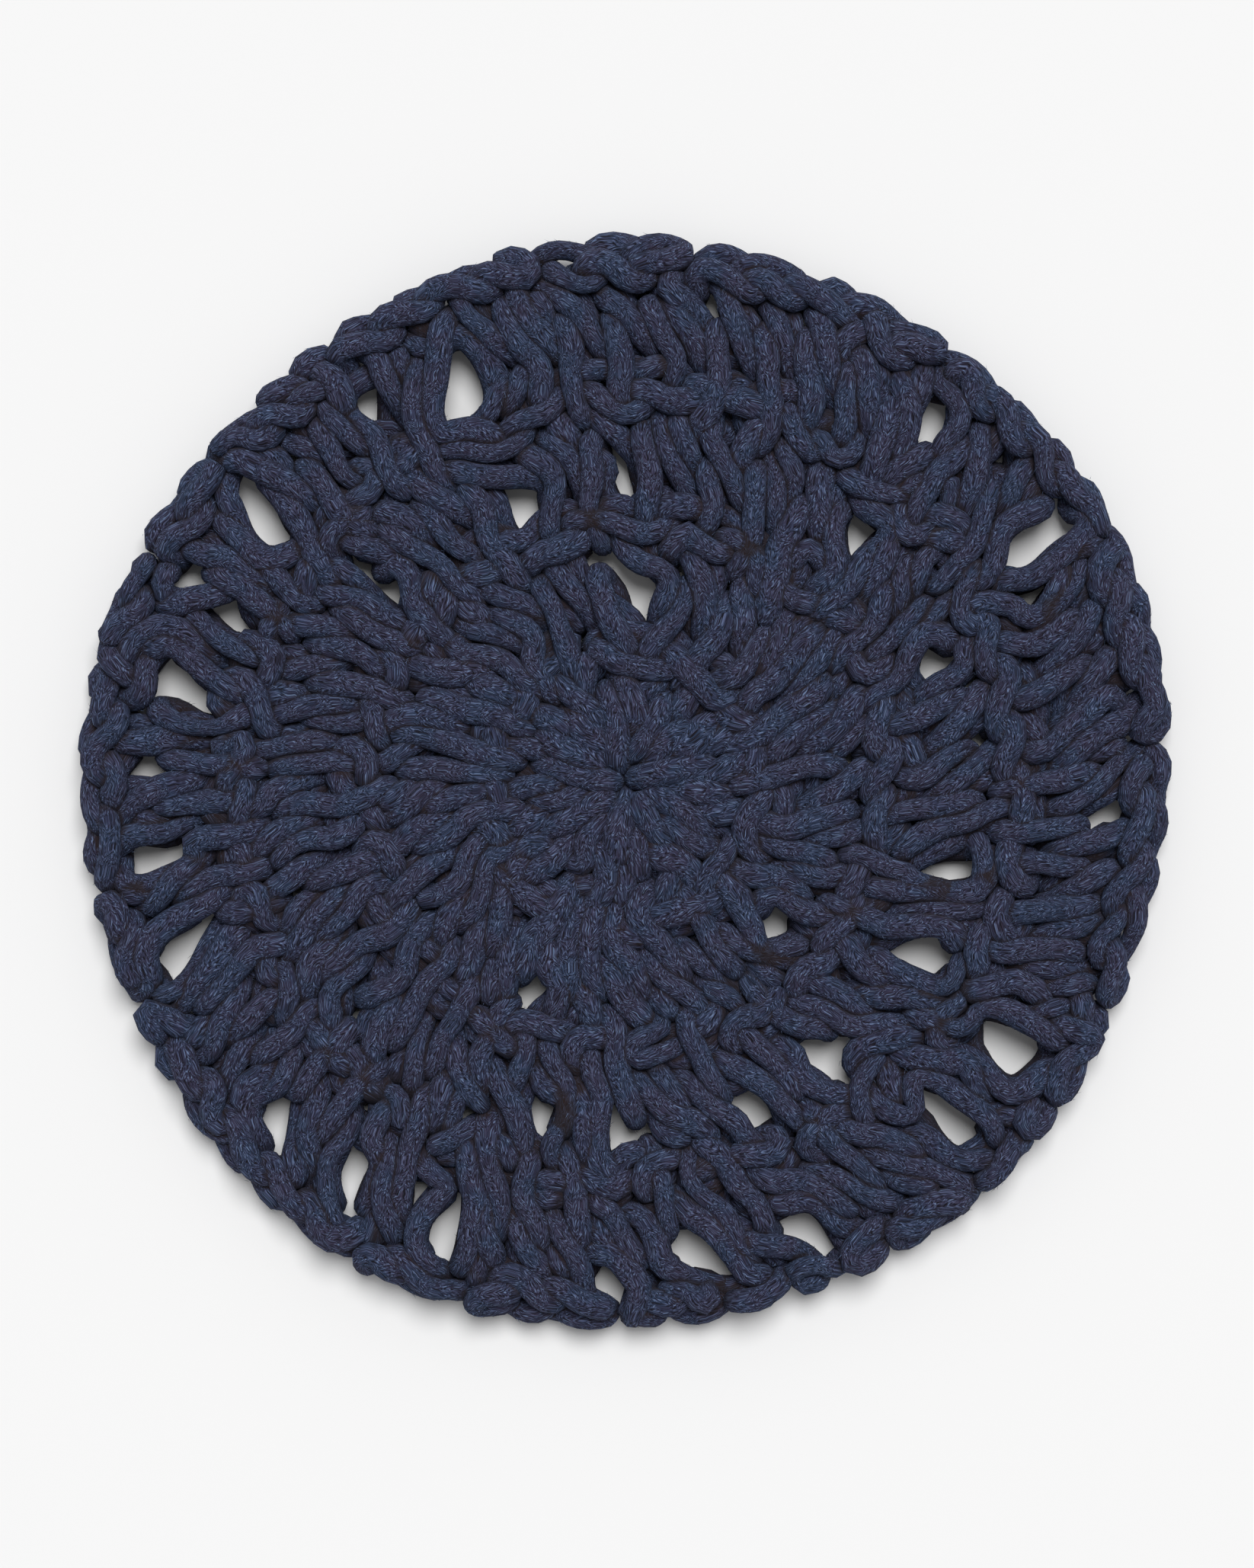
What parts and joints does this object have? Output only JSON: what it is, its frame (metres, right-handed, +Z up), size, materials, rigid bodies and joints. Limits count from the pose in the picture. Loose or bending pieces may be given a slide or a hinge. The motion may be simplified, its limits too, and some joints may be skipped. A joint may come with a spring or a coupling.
{
  "type": "round crocheted cord trivet",
  "caption": "Round flat crochet mat of thick heathered navy cotton cord, worked in rounds, with a scalloped rim and small open gaps between stitches.",
  "frame": {"origin": "middle of the flat underside, on the surface that the mat lies on", "axes": "+Z up out of the mat's top face, +Y towards the top of the picture, +X to its right"},
  "size_m": [0.199, 0.1994, 0.011],
  "materials": {
    "cotton_cord": "heathered navy cotton cord, matt and slightly fuzzy"
  },
  "bodies": {
    "root": {"crochet_mat": "cotton_cord"}
  },
  "joints": []
}
